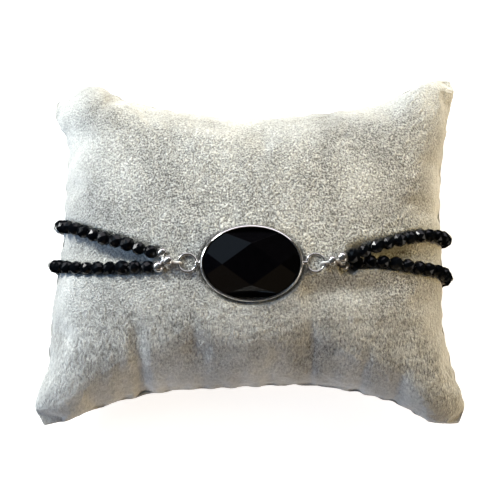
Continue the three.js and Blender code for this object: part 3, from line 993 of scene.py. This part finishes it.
# ---- silver setting -----------------------------------------------------------------------------
def oval_sweep(half_length, half_width, profile, sides=160):
    """A profile of (distance outside the oval, height) carried round the oval, square to its edge."""
    outside, height = np.array(profile, float).T[:, :, None, None]
    edge = circle(around(sides), half_length, half_width)
    outward = unit(circle(around(sides), half_width, half_length))
    vertices = edge + outside * outward + height * np.array([0, 0, 1.0])
    return vertices.reshape(-1, 3), np.arange(len(profile) * sides).reshape(len(profile), sides)


def on_ring(points, side):
    """Points about a ring's middle, turned by the rings' lift and moved to the ring on that side."""
    return tilted(points, -RING_LIFT) + (side * RING_OUT, 0, RING_RISE)


def torus(radius, wire, steps=72, sides=20):
    """A ring of round wire lying flat: the wire's circle carried round the ring's circle."""
    a, b = np.meshgrid(around(steps), around(sides), indexing="ij")
    distance = radius + wire * np.cos(b)
    vertices = np.stack([distance * np.cos(a), distance * np.sin(a), wire * np.sin(b)], -1)
    return vertices.reshape(-1, 3), closed_quads(np.arange(steps * sides).reshape(steps, sides))


def union(name, pieces):
    """One closed mesh from overlapping closed pieces, which are used up."""
    main, *others = pieces
    for other in others:
        join = main.modifiers.new("join", "BOOLEAN")
        join.operation = "UNION"
        join.solver = "EXACT"
        join.object = other
    bpy.context.view_layer.update()
    evaluated = main.evaluated_get(bpy.context.evaluated_depsgraph_get())
    mesh = bpy.data.meshes.new_from_object(evaluated)
    for piece in pieces:
        bpy.data.objects.remove(piece)
    joined = bpy.data.objects.new(name, mesh)
    bpy.context.scene.collection.objects.link(joined)
    return joined


class BRACELET_OT_setting(bpy.types.Operator):
    """Make the silver setting: an oval cup with a burnished lip, two rings and their solder"""

    bl_idname = "bracelet.setting"
    bl_label = "Silver Setting"

    def execute(self, context):
        setting = context.scene.bracelet_setting
        half = (setting.half_length / MM, setting.half_width / MM)
        top = setting.bezel_height / MM
        cup_profile = [  # outside the stone's oval, height
            (0.4, 0), (0.47, 0.03), (0.5, 0.12), (0.5, 1.2), (0.52, top - 0.5), (0.5, top - 0.34),
            (0.42, top - 0.22), (0.26, top - 0.06), (0.18, top), (0.1, top - 0.03), (0.0, top - 0.2),
            (0.04, top - 0.42), (0.12, top - 0.5), (0.15, top - 0.7), (0.15, 0.55), (0.1, 0.5),
        ]
        vertices, index = oval_sweep(*half, cup_profile)
        cup = mesh_piece("cup", vertices, [ring_quads(index), index[0][None, ::-1], index[-1][None]])
        parts = [cup]
        solder_profile = [  # radius, distance from the connector's middle
            (0.66, 10.0), (0.6, 10.2), (0.47, 10.4), (0.4, 10.6), (0.42, 10.85), (0.44, 11.1),
            (0.36, 11.3), (0.2, 11.4),
        ]
        for side in SIDES.values():
            wire, quads = torus(RING_RADIUS, RING_WIRE)
            parts.append(mesh_piece("ring", on_ring(wire, side), [quads]))
            blob, index = lathe(solder_profile, sides=24)
            blob = np.stack([blob[:, 2] * side, blob[:, 0] * side, blob[:, 1]], -1)
            faces = [ring_quads(index), index[0][None, ::-1], index[-1][None]]
            parts.append(mesh_piece("solder", blob + (0, 0, RING_RISE), faces))
        for part in parts:
            shape = bmesh.new()
            shape.from_mesh(part.data)
            bmesh.ops.recalc_face_normals(shape, faces=shape.faces)
            shape.to_mesh(part.data)
            shape.free()
        silver = union("silver_setting", parts)
        place_on_connector(silver)
        silver.data.set_sharp_from_angle(angle=math.radians(38))
        finish = silver_finish("silver_setting", tuple(setting.silver))
        give(silver, finish, "silver_setting", "bezel_with_rings")
        return {"FINISHED"}


def small_beds():
    """(centres, reach) of the small things that press into the plush beside the strands: the rings,
    their solder and the silver beads."""
    beds = []
    wire = circle(np.linspace(0, 2 * np.pi, 60), RING_RADIUS, RING_RADIUS)
    solder_radius, solder_run = 0.6, np.linspace(10, 11.2, 8)
    for side in SIDES.values():
        beds.append((on_connector(on_ring(wire, side)), RING_WIRE * MM + BED_ROOM))
        solder = [(side * x, 0, RING_RISE) for x in solder_run]
        beds.append((on_connector(solder), solder_radius * MM + BED_ROOM))
    return beds + [(middle[None], radius + BED_ROOM) for middle, radius in silver_bead_places().values()]


# ---- stage --------------------------------------------------------------------------------------
LAMPS = {  # light up the pieces but are not seen in them: direction, distance, size, radiance, colour
    "window": ((-0.6, 0.62, 0.5), 0.62, (0.18, 0.18), 62, (0.97, 1.0, 0.97)),
    "sky": ((-0.2, 0.5, 1), 1.2, (1.4, 1.0), 0.9, (0.84, 0.93, 1.0)),
    "back": ((0.35, 0.9, 0.42), 1.0, (1.2, 0.5), 4.0, (1, 1, 0.98)),
    "cool_side": ((-0.95, -0.1, 0.3), 0.85, (0.3, 0.7), 6.2, (0.33, 0.58, 1.0)),
    "warm_side": ((0.93, 0.15, 0.33), 0.85, (0.3, 0.6), 8.4, (1.0, 0.74, 0.29)),
    "front": ((0.6, -0.9, 0.35), 0.9, (0.7, 0.4), 1.15, (1.0, 0.60, 0.40)),
}
CARDS = {  # are only seen in polished pieces: direction, distance, size, radiance, colour
    "window_card": ((-0.6, 0.62, 0.5), 0.9, (0.2, 0.2), 30, (1.0, 1.0, 0.97)),
    "side_card": ((-0.93, 0.25, 0.27), 0.9, (0.22, 0.22), 14, (0.97, 1.0, 1.0)),
    "cool_card": ((-0.47, 0.38, 0.79), 0.9, (0.45, 0.4), 0.72, (0.60, 0.80, 1.0)),
    "back_card": ((0, 0.87, 0.5), 0.9, (1.9, 0.45), 1.5, (0.96, 0.92, 1.0)),
    "right_card": ((0.83, -0.5, 0.16), 0.9, (0.5, 0.35), 1.7, (1.0, 0.92, 0.82)),
    "left_card": ((-0.95, 0.1, 0.05), 0.9, (0.6, 0.3), 1.2, (0.85, 0.93, 1.0)),
    "front_card": ((0, -0.93, 0.33), 0.9, (1.3, 0.4), 0.2, (1.0, 0.78, 0.52)),
}


def area_light(name, direction, distance, size, radiance, tint, reflected):
    """A rectangular light in this direction from the bracelet, as bright as a card of this radiance."""
    target = Vector((0, 0, 20 * MM))
    place = target + Vector(direction).normalized() * distance
    data = bpy.data.lights.new(name, "AREA")
    data.shape = "RECTANGLE"
    data.size, data.size_y = size
    data.energy = radiance * math.pi * size[0] * size[1]
    data.color = tint
    light = bpy.data.objects.new(name, data)
    light.location = place
    light.rotation_euler = (target - place).to_track_quat("-Z", "Y").to_euler()
    light.visible_glossy = reflected
    light.visible_diffuse = not reflected
    bpy.context.scene.collection.objects.link(light)


class BRACELET_OT_stage(bpy.types.Operator):
    """Set the pale floor, the soft lights and the camera"""

    bl_idname = "bracelet.stage"
    bl_label = "Stage"

    def execute(self, context):
        scene = context.scene
        stage = scene.bracelet_stage
        reach, drop = 3.0, 0.0001
        corners = np.array([(-reach, -reach), (reach, -reach), (reach, reach), (-reach, reach)])
        corners = np.insert(corners, 2, -drop, axis=1)
        floor = mesh_piece("floor", corners, [np.array([[0, 1, 2, 3]])], smooth=False)
        finish = Finish("floor", Roughness=0.9, **{
            "Specular IOR Level": 0.1, "Base Color": tuple(stage.floor),
            "Emission Color": (1.0, 0.97, 0.94), "Emission Strength": 0.82})
        floor.data.materials.append(finish.material)
        floor.visible_glossy = False

        for lights, reflected in ((LAMPS, False), (CARDS, True)):
            for name, row in lights.items():
                area_light(name, *row, reflected)

        world = bpy.data.worlds.new("studio")
        world.use_nodes = True
        background = world.node_tree.nodes["Background"]
        background.inputs["Color"].default_value = (1.0, 0.88, 0.78, 1)
        background.inputs["Strength"].default_value = 0.07
        world.cycles_visibility.glossy = False
        scene.world = world

        target = Vector((-0.1 * MM, -2.9 * MM, 17 * MM))
        elevation = math.radians(78)
        toward = Vector((0, -math.cos(elevation), math.sin(elevation)))
        camera_data = bpy.data.cameras.new("camera")
        camera_data.sensor_width = 36
        camera_data.lens = 98.8
        camera_data.shift_y = 0.008
        camera = bpy.data.objects.new("camera", camera_data)
        camera.location = target + toward * stage.camera_distance
        camera.rotation_euler = (math.pi / 2 - elevation, 0, 0)
        scene.collection.objects.link(camera)
        scene.camera = camera
        scene.view_settings.view_transform = "Standard"
        return {"FINISHED"}


# ---- panel and registration ---------------------------------------------------------------------
OPERATORS = (
    BRACELET_OT_stage,
    BRACELET_OT_strands,
    BRACELET_OT_silver_beads,
    BRACELET_OT_thread,
    BRACELET_OT_setting,
    BRACELET_OT_stone,
    BRACELET_OT_pillow,
)
GROUPS = {
    "bracelet_pillow": PillowSettings,
    "bracelet_beads": BeadSettings,
    "bracelet_setting": SettingSettings,
    "bracelet_stage": StageSettings,
}


class BRACELET_PT_sidebar(bpy.types.Panel):
    """Lists the pieces of the bracelet and its pillow"""

    bl_label = "Connector Bracelet"
    bl_space_type = "VIEW_3D"
    bl_region_type = "UI"
    bl_category = "Bracelet"

    def draw(self, context):
        column = self.layout.column()
        for operator in OPERATORS:
            column.operator(operator.bl_idname)
        for group in GROUPS:
            settings = getattr(context.scene, group)
            box = self.layout.box()
            for name in settings.__annotations__:
                box.prop(settings, name)


def register():
    for group, settings in GROUPS.items():
        bpy.utils.register_class(settings)
        setattr(bpy.types.Scene, group, bpy.props.PointerProperty(type=settings))
    for cls in (*OPERATORS, BRACELET_PT_sidebar):
        bpy.utils.register_class(cls)


def unregister():
    for cls in (BRACELET_PT_sidebar, *reversed(OPERATORS)):
        bpy.utils.unregister_class(cls)
    for group, settings in GROUPS.items():
        delattr(bpy.types.Scene, group)
        bpy.utils.unregister_class(settings)


def main():
    """Makes the stage and every piece."""
    register()
    for operator in OPERATORS:
        category, name = operator.bl_idname.split(".")
        getattr(getattr(bpy.ops, category), name)()
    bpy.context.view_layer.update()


if __name__ == "__main__":
    main()
